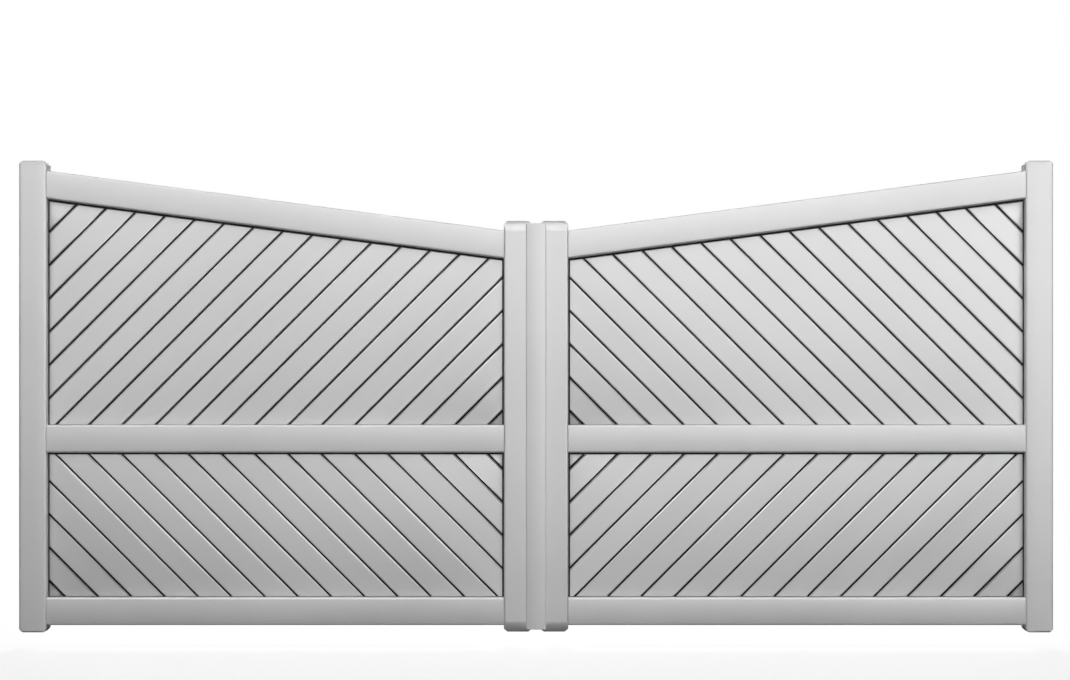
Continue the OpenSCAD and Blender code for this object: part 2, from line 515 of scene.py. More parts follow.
def arc(centre: Point2, radius: float, start: float, end: float, steps: int) -> list[Point2]:
    """Points on an arc.

    Args:
        centre: the arc's centre.
        radius: its radius.
        start: angle of the first point in degrees, from the first axis.
        end: angle of the last point in degrees.
        steps: how many pieces the arc is split into.

    Returns:
        steps + 1 points.
    """
    turns = [math.radians(start + (end - start) * i / steps) for i in range(steps + 1)]
    return [
        (centre[0] + radius * math.cos(t), centre[1] + radius * math.sin(t))
        for t in turns
    ]


def circle(centre: Point2, radius: float, steps: int) -> list[Point2]:
    """Points once round a circle, which are the corners of a regular polygon."""
    return arc(centre, radius, 0, 360, steps)[:-1]


def upright(point: Point2, z: float) -> tuple[float, float, float]:
    """A point of a level cross-section at height z."""
    return (*point, z)


@dataclass(frozen=True)
class MemberSection:
    """Outline of a frame extrusion, across its width and through its depth."""

    width: float
    depth: float
    edge_radius: float = 0.006
    channel_front: float = 0.0267
    channel_width: float = 0.0166
    channel_depth: float = 0.015
    near_channel: bool = False
    far_channel: bool = False
    corner_steps: int = 7
    front_steps: int = 16

    def dip(self, across: float) -> float:
        """How far the front lies behind its foremost line."""
        return 0.0

    def _channel(self, side: float, inwards: float) -> list[Point2]:
        """The four corners of a channel that opens at side."""
        bottom = side + inwards * self.channel_depth
        rear = self.channel_front + self.channel_width
        return [
            (side, self.channel_front),
            (bottom, self.channel_front),
            (bottom, rear),
            (side, rear),
        ]

    def outline(self) -> list[Point2]:
        """The closed outline as (across, depth) points."""
        radius, width, depth = self.edge_radius, self.width, self.depth
        steps = self.corner_steps
        near = arc((radius, radius), radius, 180, 270, steps)
        far = arc((width - radius, radius), radius, 270, 360, steps)
        span = width - 2 * radius
        flat = [(radius + span * i / self.front_steps, 0.0) for i in range(1, self.front_steps)]
        front = [(a, y + self.dip(a)) for a, y in near + flat + far]
        rear = arc((width - radius, depth - radius), radius, 0, 90, steps)
        rear += arc((radius, depth - radius), radius, 90, 180, steps)
        far_side = self._channel(width, -1) if self.far_channel else []
        near_side = self._channel(0.0, 1)[::-1] if self.near_channel else []
        return front + far_side + rear + near_side


@dataclass(frozen=True)
class RailSection(MemberSection):
    """A rail's outline, whose front is crowned."""

    crown: float = 0.002

    def dip(self, across: float) -> float:
        """How far the crowned front lies behind its middle line."""
        half = self.width / 2
        radius = (half**2 + self.crown**2) / (2 * self.crown)
        return radius - math.sqrt(radius**2 - (across - half) ** 2)


@dataclass(frozen=True)
class HingeStileSection(MemberSection):
    """A hinge stile's outline: flat outside, curving back to the leaf."""

    crown_radius: float = 0.190
    flat_width: float = 0.056
    shoulder_radius: float = 0.050
    shoulder_width: float = 0.015

    def dip(self, across: float) -> float:
        """How far the front lies behind its flat part."""
        past = max(0.0, self.width - self.flat_width - across)
        crown = self.crown_radius - math.sqrt(self.crown_radius**2 - past**2)
        over = max(0.0, across - (self.width - self.shoulder_width))
        return crown + self.shoulder_radius - math.sqrt(self.shoulder_radius**2 - over**2)


def extrude(
    loops: Sequence[Sequence[Point2]],
    ends: tuple[float, float],
    place: Callable[[Point2, float], tuple[float, float, float]],
) -> bmesh.types.BMesh:
    """Runs an outline, with its holes, from one end to the other.

    Args:
        loops: the outline and then the loops of its holes.
        ends: where the two ends lie along the run.
        place: the point in leaf coordinates for an outline point and a place
            along the run.

    Returns:
        A closed solid.
    """
    mesh = bmesh.new()
    rims: list[list[bmesh.types.BMEdge]] = [[], []]
    for loop in loops:
        rings = [[mesh.verts.new(place(point, end)) for point in loop] for end in ends]
        count = len(loop)
        for i in range(count):
            j = (i + 1) % count
            mesh.faces.new((rings[0][i], rings[0][j], rings[1][j], rings[1][i]))
            for rim, ring in zip(rims, rings):
                rim.append(mesh.edges.get((ring[i], ring[j])))
        if len(loops) == 1:
            mesh.faces.new(rings[0])
            mesh.faces.new(rings[1])
    if len(loops) > 1:
        for rim in rims:
            bmesh.ops.triangle_fill(mesh, edges=rim, use_beauty=True)
    bmesh.ops.recalc_face_normals(mesh, faces=mesh.faces)
    return mesh


def cut(mesh: bmesh.types.BMesh, point: Sequence[float], normal: Sequence[float]) -> None:
    """Takes away what lies beyond a plane and closes the cut.

    Args:
        mesh: the solid, or several that lie apart.
        point: a point of the plane.
        normal: the way to the part that goes.
    """
    everything = mesh.verts[:] + mesh.edges[:] + mesh.faces[:]
    made = bmesh.ops.bisect_plane(
        mesh, geom=everything, plane_co=point, plane_no=normal, clear_outer=True
    )
    rim = [g for g in made["geom_cut"] if isinstance(g, bmesh.types.BMEdge)]
    bmesh.ops.edgeloop_fill(mesh, edges=[e for e in rim if len(e.link_faces) == 1])


def join(target: bmesh.types.BMesh, part: bmesh.types.BMesh) -> None:
    """Adds a part to a mesh and frees the part."""
    carried = bpy.data.meshes.new("part")
    part.to_mesh(carried)
    part.free()
    target.from_mesh(carried)
    bpy.data.meshes.remove(carried)


# --------------------------------------------------------------------------
# Making pieces
# --------------------------------------------------------------------------


@dataclass
class Workshop:
    """Turns solids in leaf coordinates into finished pieces."""

    gate: GateFrame
    finishes: dict[Slot, bpy.types.Material]
    count: int = 0

    def plain_mesh(self, source: bpy.types.Object) -> bpy.types.Mesh:
        """Evaluates an object's modifiers and removes the object.

        Args:
            source: an object that isn't needed any more.

        Returns:
            The evaluated mesh.
        """
        graph = bpy.context.evaluated_depsgraph_get()
        made = bpy.data.meshes.new_from_object(
            source.evaluated_get(graph), preserve_all_data_layers=True, depsgraph=graph
        )
        rough = source.data
        bpy.data.objects.remove(source)
        bpy.data.meshes.remove(rough)
        return made

    def finish(
        self,
        name: str,
        solid: bmesh.types.BMesh,
        side: Side,
        slot: Slot,
        body: str,
        softness: float,
        replaces: Sequence[str] = (),
    ) -> None:
        """Places a solid, rounds its edges, paints it and fixes it to a body.

        Args:
            name: the piece's name.
            solid: its bmesh in leaf coordinates, which is used up.
            side: the leaf that it is drawn for.
            slot: the finish.
            body: the CAD body that carries it.
            softness: how far its sharp edges are rounded, in metres.
            replaces: the CAD nodes that it stands for.
        """
        solid.transform(self.gate.matrix(side))
        bmesh.ops.recalc_face_normals(solid, faces=solid.faces)
        for face in solid.faces:
            face.smooth = True
        rough = bpy.data.meshes.new(name)
        solid.to_mesh(rough)
        solid.free()
        draft = bpy.data.objects.new(f"{name}_draft", rough)
        bpy.context.scene.collection.objects.link(draft)
        if softness:
            bevel = draft.modifiers.new("Soft edges", "BEVEL")
            bevel.width = softness
            bevel.segments = 3
            bevel.limit_method = "ANGLE"
            bevel.angle_limit = math.radians(34)
        draft.modifiers.new("Even normals", "WEIGHTED_NORMAL").keep_sharp = True
        piece = bpy.data.objects.new(name, self.plain_mesh(draft))
        piece.data.name = name
        piece.data.materials.clear()
        piece.data.materials.append(self.finishes[slot])
        bpy.context.scene.collection.objects.link(piece)
        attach(piece, body)
        if replaces:
            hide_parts(*replaces)
        self.count += 1
        LOG.info("%s: %d faces on %s", name, len(piece.data.polygons), body)


class CopyRow:
    """Geometry Nodes that set copies of a mesh in a row, each in its own tone."""

    def __init__(self) -> None:
        """Builds the tree with an input for each size."""
        tree = bpy.data.node_groups.new("copy_row", "GeometryNodeTree")
        self.tree = tree
        sockets = {
            "Geometry": "NodeSocketGeometry",
            "Count": "NodeSocketInt",
            "Start": "NodeSocketVector",
            "Step": "NodeSocketVector",
            "Tone Spread": "NodeSocketFloat",
            "Finish": "NodeSocketMaterial",
        }
        self.inputs = {
            name: tree.interface.new_socket(name, in_out="INPUT", socket_type=kind)
            for name, kind in sockets.items()
        }
        tree.interface.new_socket(
            "Geometry", in_out="OUTPUT", socket_type="NodeSocketGeometry"
        )
        shading = Shading(tree)
        given = shading.node("NodeGroupInput").outputs
        line = shading.node(
            "GeometryNodeMeshLine",
            {"mode": "OFFSET"},
            {
                "Count": given["Count"],
                "Start Location": given["Start"],
                "Offset": given["Step"],
            },
        )
        copies = shading.node(
            "GeometryNodeInstanceOnPoints",
            inputs={"Points": line.outputs[0], "Instance": given["Geometry"]},
        )
        spread = Value(shading, given["Tone Spread"])
        tone = shading.node(
            "FunctionNodeRandomValue",
            {"data_type": "FLOAT"},
            {2: -1.0 * spread, 3: spread, "Seed": 7},
        )
        toned = shading.node(
            "GeometryNodeStoreNamedAttribute",
            {"data_type": "FLOAT", "domain": "INSTANCE"},
            {
                "Geometry": copies.outputs[0],
                "Name": "board_tone",
                "Value": tone.outputs[1],
            },
        )
        real = shading.node(
            "GeometryNodeRealizeInstances", inputs={"Geometry": toned.outputs[0]}
        )
        painted = shading.node(
            "GeometryNodeSetMaterial",
            inputs={"Geometry": real.outputs[0], "Material": given["Finish"]},
        )
        shading.node("NodeGroupOutput", inputs={0: painted.outputs[0]})

    def copies(
        self, shop: Workshop, single: bmesh.types.BMesh, settings: dict[str, Any]
    ) -> bmesh.types.BMesh:
        """Repeats a mesh.

        Args:
            shop: the workshop that evaluates the tree.
            single: the mesh to repeat, which is used up.
            settings: a value for each named input but Geometry.

        Returns:
            All the copies as one bmesh.
        """
        mesh = bpy.data.meshes.new("single")
        single.to_mesh(mesh)
        single.free()
        draft = bpy.data.objects.new("row_draft", mesh)
        row = draft.modifiers.new("Row", "NODES")
        row.node_group = self.tree
        for name, value in settings.items():
            row[self.inputs[name].identifier] = value
        bpy.context.scene.collection.objects.link(draft)
        made = shop.plain_mesh(draft)
        result = bmesh.new()
        result.from_mesh(made)
        bpy.data.meshes.remove(made)
        return result


# --------------------------------------------------------------------------
# The leaves
# --------------------------------------------------------------------------


@dataclass
class LeafPart:
    """A part that is built for one leaf."""

    shop: Workshop
    side: Side

    @property
    def body(self) -> str:
        """The CAD body of the leaf."""
        return f"{self.side.word}_leaf"

    def box(self, node: str) -> LeafBox:
        """The box of a CAD node, named without its side."""
        return self.shop.gate.box(self.side, node)

    def skin(
        self, node: str, solid: bmesh.types.BMesh, slot: Slot, softness: float, body: str = ""
    ) -> None:
        """Finishes a piece that stands for a CAD node.

        Args:
            node: the node's name without its side.
            solid: its bmesh in leaf coordinates, which is used up.
            slot: the finish.
            softness: how far its sharp edges are rounded, in metres.
            body: the CAD body that carries it, if it isn't the leaf's.
        """
        name = f"{self.side.word}_{node}"
        body = body or self.body
        self.shop.finish(f"{name}_skin", solid, self.side, slot, body, softness, [name])


@dataclass
class Stiles(LeafPart):
    """The two upright members of a leaf with their end caps."""

    edge_radius: float = 0.008
    hinge_chamfer: float = 0.013
    hinge_bevel: float = 0.005
    meeting_chamfer: float = 0.012
    meeting_curve: float = 0.050
    curve_cuts: int = 12
    end_softness: float = 0.0015
    cap_softness: float = 0.0010

    def build(self) -> None:
        """Builds both stiles and their four caps."""
        hinge = self.box("hinge_stile")
        section = HingeStileSection(
            hinge.width, hinge.depth, self.edge_radius, near_channel=True
        )
        self._stile("hinge_stile", hinge, section)
        plain = HingeStileSection(hinge.width, hinge.depth, self.edge_radius)
        meeting = self.box("meeting_stile")
        section = MemberSection(
            meeting.width, meeting.depth, self.edge_radius, far_channel=True
        )
        self._stile("meeting_stile", meeting, section)
        block = MemberSection(meeting.width, meeting.depth, self.edge_radius)
        for end in End:
            self._cap("hinge_stile", end, plain, self._cut_hinge_cap)
            self._cap("meeting_stile", end, block, self._cut_meeting_cap)

    def _stile(self, node: str, box: LeafBox, section: MemberSection) -> None:
        """Builds one stile."""
        solid = extrude(
            [section.outline()],
            (box.bottom, box.top),
            lambda point, z: (box.inner + point[0], box.front + point[1], z),
        )
        self.skin(node, solid, Slot.FRAME, self.end_softness)

    def _cap(
        self,
        stile: str,
        end: End,
        section: MemberSection,
        shape: Callable[[bmesh.types.BMesh, LeafBox, End], None],
    ) -> None:
        """Builds one end cap from the stile's outline and cuts it to shape."""
        node = f"{stile}_{end.name.lower()}_cap"
        box = self.box(node)
        stile_box = self.box(stile)
        solid = extrude(
            [section.outline()],
            (box.bottom, box.top),
            lambda point, z: (box.inner + point[0], stile_box.front + point[1], z),
        )
        shape(solid, box, end)
        self.skin(node, solid, Slot.CAP, self.cap_softness)

    def _chamfer(
        self, solid: bmesh.types.BMesh, box: LeafBox, end: End, size: float
    ) -> None:
        """Cuts the two side edges of a cap's end at 45 degrees."""
        tip = box.top if end is End.TOP else box.bottom
        for edge, out in ((box.inner, -1), (box.outer, 1)):
            cut(solid, (edge, 0.0, tip - end.value * size), (out, 0.0, end.value))

    def _cut_hinge_cap(self, solid: bmesh.types.BMesh, box: LeafBox, end: End) -> None:
        """Wide chamfers at the sides and narrow ones at front and rear."""
        self._chamfer(solid, box, end, self.hinge_chamfer)
        tip = box.top if end is End.TOP else box.bottom
        for edge, out in ((box.front, -1), (box.rear, 1)):
            foot = tip - end.value * self.hinge_bevel
            cut(solid, (0.0, edge, foot), (0.0, out, end.value))

    def _cut_meeting_cap(self, solid: bmesh.types.BMesh, box: LeafBox, end: End) -> None:
        """A front that curves back towards the end, and chamfered sides."""
        base = box.bottom if end is End.TOP else box.top
        reach = math.asin(box.height / self.meeting_curve)
        for i in range(self.curve_cuts):
            angle = reach * (i + 0.5) / self.curve_cuts
            normal = (0.0, -math.cos(angle), end.value * math.sin(angle))
            point = (
                0.0,
                self.meeting_curve * (1 - math.cos(angle)),
                base + end.value * self.meeting_curve * math.sin(angle),
            )
            cut(solid, point, normal)
        self._chamfer(solid, box, end, self.meeting_chamfer)


@dataclass
class Rails(LeafPart):
    """The level rails and the climbing top rail of a leaf."""

    edge_radius: float = 0.006
    crown: float = 0.002
    softness: float = 0.0018

    def section(self, near: bool, far: bool) -> RailSection:
        """A rail's outline with a channel at its lower or upper side."""
        rail = self.box("mid_rail")
        return RailSection(
            rail.height,
            rail.depth,
            self.edge_radius,
            near_channel=near,
            far_channel=far,
            crown=self.crown,
        )

    def slope(self) -> float:
        """The top rail's angle in radians, worked out from its box."""
        top = self.box("top_rail")
        height = self.box("mid_rail").height
        reach = math.hypot(top.height, top.width)
        return math.acos(height / reach) - math.atan2(top.width, top.height)

    def underside(self, u: float) -> float:
        """Height of the top rail's underside at u."""
        top = self.box("top_rail")
        return top.bottom + (u - top.inner) * math.tan(self.slope())

    def build(self) -> None:
        """Builds the three rails."""
        self._level("mid_rail", self.section(True, True))
        self._level("bottom_rail", self.section(False, True))
        box = self.box("top_rail")
        rise = 1 / math.cos(self.slope())
        solid = extrude(
            [self.section(True, False).outline()],
            (box.inner, box.outer),
            lambda point, u: (u, box.front + point[1], self.underside(u) + rise * point[0]),
        )
        self.skin("top_rail", solid, Slot.FRAME, self.softness)

    def _level(self, node: str, section: RailSection) -> None:
        """Builds a level rail."""
        box = self.box(node)
        solid = extrude(
            [section.outline()],
            (box.inner, box.outer),
            lambda point, u: (u, box.front + point[1], box.bottom + point[0]),
        )
        self.skin(node, solid, Slot.FRAME, self.softness)


@dataclass
class BoardPanel(LeafPart):
    """Diagonal tongue-and-groove boards that fill one opening of a leaf."""

    row: CopyRow
    node: str
    turn_deg: float
    shift: float
    first: int
    last: int
    pitch: float = 0.080
    slot_width: float = 0.005
    edge_radius: float = 0.004
    upper_bevel: float = 0.0050
    lower_bevel: float = 0.0033
    edge_drop: float = 0.0026
    ease: float = 0.0006
    ease_rise: float = 0.0002
    ease_side: float = 0.0004
    tongue: float = 0.004
    tongue_bite: float = 0.0037
    groove_depth: float = 0.0045
    groove_play: float = 0.0003
    length: float = 3.6
    tone_spread: float = 0.05

    def _bevel(self, edge: float, inwards: float, width: float) -> list[Point2]:
        """A flat front bevel with eased ends, from the board's side to its face."""
        return [
            (edge, self.edge_drop + self.ease),
            (edge + inwards * self.ease_side, self.edge_drop),
            (edge + inwards * (width - self.ease), self.ease_rise),
            (edge + inwards * width, 0.0),
        ]

    def _profile(self, thickness: float) -> list[Point2]:
        """One board across its pitch: groove at the left, tongue at the right."""
        left = self.slot_width / 2
        right = self.pitch - left
        radius = self.edge_radius
        upper, lower = self.upper_bevel, self.lower_bevel
        near, far = (lower, upper) if self.turn_deg < 0 else (upper, lower)
        back = thickness - radius
        tongue = ((thickness - self.tongue) / 2, (thickness + self.tongue) / 2)
        groove = (tongue[0] - self.groove_play, tongue[1] + self.groove_play)
        tip = right + self.slot_width + self.tongue_bite
        return [
            *self._bevel(left, 1, near),
            *self._bevel(right, -1, far)[::-1],
            (right, tongue[0]),
            (tip, tongue[0]),
            (tip, tongue[1]),
            (right, tongue[1]),
            *arc((right - radius, back), radius, 0, 90, 6),
            *arc((left + radius, back), radius, 90, 180, 6),
            (left, groove[1]),
            (left + self.groove_depth, groove[1]),
            (left + self.groove_depth, groove[0]),
            (left, groove[0]),
        ]

    def _board(self, thickness: float) -> bmesh.types.BMesh:
        """One long board, with how deep each point lies in a joint."""
        half = self.length / 2
        board = extrude([self._profile(thickness)], (-half, half), upright)
        # How deep each point lies decides where the board coat is painted with shade.
        depth = board.verts.layers.float.new("joint_depth")
        for vert in board.verts:
            vert[depth] = min(vert.co.y, thickness - vert.co.y)
        return board

    def _trim(self, boards: bmesh.types.BMesh, corners: Sequence[Point2]) -> None:
        """Cuts the boards off along each side of the panel."""
        middle = Vector((sum(u for u, _ in corners), 0.0, sum(z for _, z in corners)))
        middle /= len(corners)
        for i, (u, z) in enumerate(corners):
            next_u, next_z = corners[(i + 1) % len(corners)]
            normal = Vector((next_z - z, 0.0, u - next_u))
            point = Vector((u, 0.0, z))
            if normal.dot(point - middle) < 0:
                normal.negate()
            cut(boards, point, normal)

    def build(self, corners: Sequence[Point2], front: float, thickness: float) -> None:
        """Builds the boards and cuts them to the panel.

        Args:
            corners: the panel's (u, z) corners, board ends included.
            front: y of the board face.
            thickness: the boards' thickness.
        """
        settings = {
            "Count": self.last - self.first + 1,
            "Start": (self.first * self.pitch + self.shift, front, 0.0),
            "Step": (self.pitch, 0.0, 0.0),
            "Tone Spread": self.tone_spread,
            "Finish": self.shop.finishes[Slot.BOARD],
        }
        boards = self.row.copies(self.shop, self._board(thickness), settings)
        boards.transform(Matrix.Rotation(math.radians(self.turn_deg), 4, "Y"))
        self._trim(boards, corners)
        self.skin(self.node, boards, Slot.BOARD, 0.0)


@dataclass
class ShadowBead(LeafPart):
    """A black bead between a panel's boards and the frame around it, put there as painted shade:
    it stands in for the dark shadow lines round the panel, and is thinnest at the lit foot.
    """

    name: str
    width: float = 0.0062
    foot_width: float = 0.0006
    hinge_width: float = 0.0015
    height: float = 0.0080
    hold: float = 0.0004
    softness: float = 0.0004

    def build(self, corners: Sequence[Point2], front: float) -> None:
        """Builds the bead.

        Args:
            corners: the opening's (u, z) corners, anticlockwise from the lower
                inner one.
            front: y of the board face.
        """
        # Thin at the lit foot and at the hinge side, wide where the shadow lines are dark.
        widths = (self.foot_width, self.hinge_width, self.width, self.width)
        held = self._inset(corners, [-self.hold] * 4)
        solid = extrude(
            [held, self._inset(corners, widths)],
            (front - self.height, front + self.hold),
            lambda point, y: (point[0], y, point[1]),
        )
        self.shop.finish(
            f"{self.side.word}_{self.name}_seal",
            solid,
            self.side,
            Slot.SEAL,
            self.body,
            self.softness,
        )

    def _inset(self, corners: Sequence[Point2], widths: Sequence[float]) -> list[Point2]:
        """Moves each side of a polygon inwards by its own width."""
        points = [Vector(corner) for corner in corners]
        moved = []
        for i, width in enumerate(widths):
            start, end = points[i], points[(i + 1) % len(points)]
            along = (end - start).normalized()
            inwards = Vector((-along.y, along.x)) * width
            moved.append((start + inwards, end + inwards))
        inner = []
        for i, (start, end) in enumerate(moved):
            last_start, last_end = moved[i - 1]
            along, last = end - start, last_end - last_start
            share = last.cross(start - last_start) / along.cross(last)
            inner.append(tuple(start + share * along))
        return inner


@dataclass
class Leaf(LeafPart):
    """One leaf of the gate: stiles, rails and both panels of boards."""

    row: CopyRow
    board_bite: float = 0.012

    def build(self) -> None:
        """Builds the leaf from the outside in."""
        Stiles(self.shop, self.side).build()
        rails = Rails(self.shop, self.side)
        rails.build()
        self._seals(rails)
        upper = self.box("upper_boards")
        tops = [rails.underside(u) + self.board_bite for u in (upper.outer, upper.inner)]
        self._panel("upper_boards", upper, tops, turn_deg=-45.0, shift=0.0505, first=6, last=26)
        lower = self.box("lower_boards")
        tops = [lower.top, lower.top]
        self._panel("lower_boards", lower, tops, turn_deg=45.0, shift=0.0094, first=-5, last=13)

    def _panel(
        self, node: str, box: LeafBox, tops: Sequence[float], **layout: float
    ) -> None:
        """Builds one panel of boards.

        Args:
            node: the panel's CAD node without its side.
            box: the node's box.
            tops: heights of the panel's outer and inner upper corners.
            layout: the boards' turn, shift and first and last number.
        """
        corners = [
            (box.inner, box.bottom),
            (box.outer, box.bottom),
            (box.outer, tops[0]),
            (box.inner, tops[1]),
        ]
        panel = BoardPanel(self.shop, self.side, self.row, node, **layout)
        panel.build(corners, box.front, box.depth)

    def _seals(self, rails: Rails) -> None:
        """Builds the black beads of painted shade around both panels."""
        inner = self.box("meeting_stile").outer
        outer = self.box("hinge_stile").inner
        middle = self.box("mid_rail")
        foot = self.box("bottom_rail").top
        upper = [
            (inner, middle.top),
            (outer, middle.top),
            (outer, rails.underside(outer)),
            (inner, rails.underside(inner)),
        ]
        lower = [(inner, foot), (outer, foot), (outer, middle.bottom), (inner, middle.bottom)]
        for name, corners in (("upper_boards", upper), ("lower_boards", lower)):
            ShadowBead(self.shop, self.side, name).build(corners, self.box(name).front)


@dataclass
class CoverStrip:
    """The crowned strip on the left leaf that covers the joint."""

    shop: Workshop
    crown: float = 0.0045
    skin: float = 0.0025
    edge: float = 0.005
    lip: float = 0.0075
    foot_width: float = 0.017
    foot_wall: float = 0.002
    foot_play: float = 0.0005
    softness: float = 0.0009
    steps: int = 20

    def build(self) -> None:
        """Builds the strip, with its hollow foot on the left leaf."""
        low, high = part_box("cover_strip")
        gate = self.shop.gate
        half = (high.x - low.x) / 2
        front = low.y - gate.front_y
        solid = extrude(
            [self._outline(half, front), self._hollow(half, front)],
            (low.z - gate.base_z, high.z - gate.base_z),
            upright,
        )
        self.shop.finish(
            "cover_strip_skin",
            solid,
            Side.RIGHT,
            Slot.STRIP,
            "left_leaf",
            self.softness,
            ["cover_strip"],
        )

    def _outline(self, half: float, front: float) -> list[Point2]:
        """The strip's cross-section, with rounded edges, one lip and the foot.

        Args:
            half: half of the strip's width.
            front: y of its foremost line.

        Returns:
            The closed outline as (x, y) points.
        """
        radius = (half**2 + self.crown**2) / (2 * self.crown)
        flat = half - self.edge
        reach = math.degrees(math.asin(flat / radius))
        centre = (0.0, front + radius)
        edge_y = centre[1] - math.sqrt(radius**2 - flat**2) + self.edge
        lip_y = edge_y + self.lip - self.edge
        inner = radius - self.skin
        turn = math.degrees(math.asin((half - self.skin) / inner))
        inside = -half + self.foot_width
        rear = arc(centre, inner, -90 + turn, -90 - turn, self.steps)
        return [
            *arc((-flat, edge_y), self.edge, 180, 270, 6)[:-1],
            *arc(centre, radius, -90 - reach, -90 + reach, self.steps),
            *arc((flat, edge_y), self.edge, -90, 0, 6)[1:],
            (half, lip_y),
            (half - self.skin, lip_y),
            *(point for point in rear if point[0] > inside),
            (inside, centre[1] - math.sqrt(inner**2 - inside**2)),
            (inside, 0.0),
            (-half, 0.0),
        ]

    def _hollow(self, half: float, front: float) -> list[Point2]:
        """The hollow inside the strip's foot, for the same half and front."""
        left = -half + self.foot_wall
        right = -half + self.foot_width - self.foot_wall
        near = front + self.crown + self.skin / 2 + self.foot_play
        return [(left, near), (right, near), (right, -self.foot_wall), (left, -self.foot_wall)]


# --------------------------------------------------------------------------
# Hinges
# --------------------------------------------------------------------------


@dataclass
class Hinge(LeafPart):
    """One hinge: the leaf's strap with its bolts, and the pillar's bracket."""

    place: Place
    row: CopyRow
    barrel_radius: float = 0.015
    pin_radius: float = 0.008
    play: float = 0.0001
    pin_rise: float = 0.004
    strap_thickness: float = 0.006
    strap_fillet: float = 0.005
    strap_softness: float = 0.0007
    block_reach: float = 0.012
    plate_thickness: float = 0.006
    plate_half: float = 0.035
    plate_corner: float = 0.006
    bracket_softness: float = 0.0008
    arm_radius: float = 0.014
    arm_thickness: float = 0.012
    arm_drop: float = 0.0005
    bolt_hole: float = 0.0055
    bolt_dy: float = 0.044
    bolt_dz: float = 0.080
    head_across: float = 0.013
    head_height: float = 0.0055
    head_inset: float = 0.014
    head_step: float = 0.026
    head_softness: float = 0.0005
    washer_spread: float = 1.15
    washer_height: float = 0.0014
    round_steps: int = 32

    @property
    def strap_node(self) -> str:
        """The strap's node without its side."""
        return f"{self.place.value}_hinge_strap"

    def build(self) -> None:
        """Builds the strap, its bolts and the bracket."""
        self._strap()
        self._bolts()
        self._bracket()

    def _axis(self) -> Point2:
        """The pin's axis as (u, y)."""
        strap = self.box(self.strap_node)
        return (strap.outer - self.barrel_radius, strap.rear - self.barrel_radius)

    def _strap(self) -> None:
        """Builds strap, block and barrel as one outline with the pin's bore."""
        box = self.box(self.strap_node)
        axis = self._axis()
        radius = self.barrel_radius
        face = box.front + self.strap_thickness
        turn = math.degrees(math.acos(self.block_reach / radius))
        fillet = self.strap_fillet
        outline = [
            (box.inner, box.front),
            (box.inner, face),
            *arc((axis[0] - radius - fillet, face + fillet), fillet, -90, 0, 5),
            *arc(axis, radius, 180, -turn, self.round_steps),
            (axis[0] + self.block_reach, box.front),
        ]
        bore = circle(axis, self.pin_radius + self.play, self.round_steps)
        solid = extrude([outline, bore], (box.bottom, box.top), upright)
        self.skin(self.strap_node, solid, Slot.STEEL, self.strap_softness)

    def _bolts(self) -> None:
        """Builds the two hexagon heads and washers that hold the strap."""
        box = self.box(self.strap_node)
        face = box.front + self.strap_thickness
        radius = self.head_across / 2 / math.cos(math.radians(30))
        washer = self.washer_height
        head = extrude(
            [circle((0.0, 0.0), radius, 6)],
            (washer, washer + self.head_height),
            lambda point, y: (point[0], y, point[1]),
        )
        rim = bmesh.new()
        bmesh.ops.create_cone(
            rim,
            cap_ends=True,
            segments=24,
            radius1=self.washer_spread * radius,
            radius2=self.washer_spread * radius,
            depth=washer,
            matrix=Matrix.Translation((0, washer / 2, 0)) @ Matrix.Rotation(math.pi / 2, 4, "X"),
        )
        join(head, rim)
        settings = {
            "Count": 2,
            "Start": (box.inner + self.head_inset, face, (box.bottom + box.top) / 2),
            "Step": (self.head_step, 0.0, 0.0),
            "Tone Spread": 0.0,
            "Finish": self.shop.finishes[Slot.STEEL],
        }
        bolts = self.row.copies(self.shop, head, settings)
        self.shop.finish(
            f"{self.side.word}_{self.place.value}_hinge_bolts",
            bolts,
            self.side,
            Slot.STEEL,
            self.body,
            self.head_softness,
        )

    def _bracket(self) -> None:
        """Builds wall plate, arm and pin, and joins them as one piece."""
        node = f"{self.place.value}_hinge_bracket"
        box = self.box(node)
        bracket = self._plate(box)
        join(bracket, self._arm(box.outer - self.plate_thickness))
        join(bracket, self._pin())
        self.skin(node, bracket, Slot.STEEL, self.bracket_softness, "hinge_brackets")

    def _plate(self, box: LeafBox) -> bmesh.types.BMesh:
        """The wall plate, with rounded corners and four bolt holes."""
        y = box.rear - self.plate_half
        z = (box.bottom + box.top) / 2
        corner = self.plate_corner
        across = self.plate_half - corner
        up = box.height / 2 - corner
        corners = ((across, up, 0), (-across, up, 90), (-across, -up, 180), (across, -up, 270))
        outline = [
            point
            for dy, dz, turn in corners
            for point in arc((y + dy, z + dz), corner, turn, turn + 90, 5)
        ]
        bolts = [
            (y + dy * self.bolt_dy / 2, z + dz * self.bolt_dz / 2)
            for dy in (-1, 1)
            for dz in (-1, 1)
        ]
        return extrude(
            [outline, *(circle(bolt, self.bolt_hole, 24) for bolt in bolts)],
            (box.outer - self.plate_thickness, box.outer),
            lambda point, u: (u, *point),
        )

    def _arm_top(self) -> float:
        """Height of the arm's upper face, just under the barrel."""
        return self.box(self.strap_node).bottom - self.arm_drop

    def _arm(self, end: float) -> bmesh.types.BMesh:
        """The arm, rounded about the pin's axis, which ends at the plate."""
        u, y = self._axis()
        radius = self.arm_radius
        outline = [
            *arc((u, y), radius, 90, 270, 20),
            (end, y - radius),
            (end, y + radius),
        ]
        top = self._arm_top()
        return extrude([outline], (top - self.arm_thickness, top), upright)

    def _pin(self) -> bmesh.types.BMesh:
        """The pin, which stands on the arm and passes through the barrel."""
        outline = circle(self._axis(), self.pin_radius, self.round_steps)
        tip = self.box(self.strap_node).top + self.pin_rise
        return extrude([outline], (self._arm_top(), tip), upright)


# --------------------------------------------------------------------------
# Studio
# --------------------------------------------------------------------------


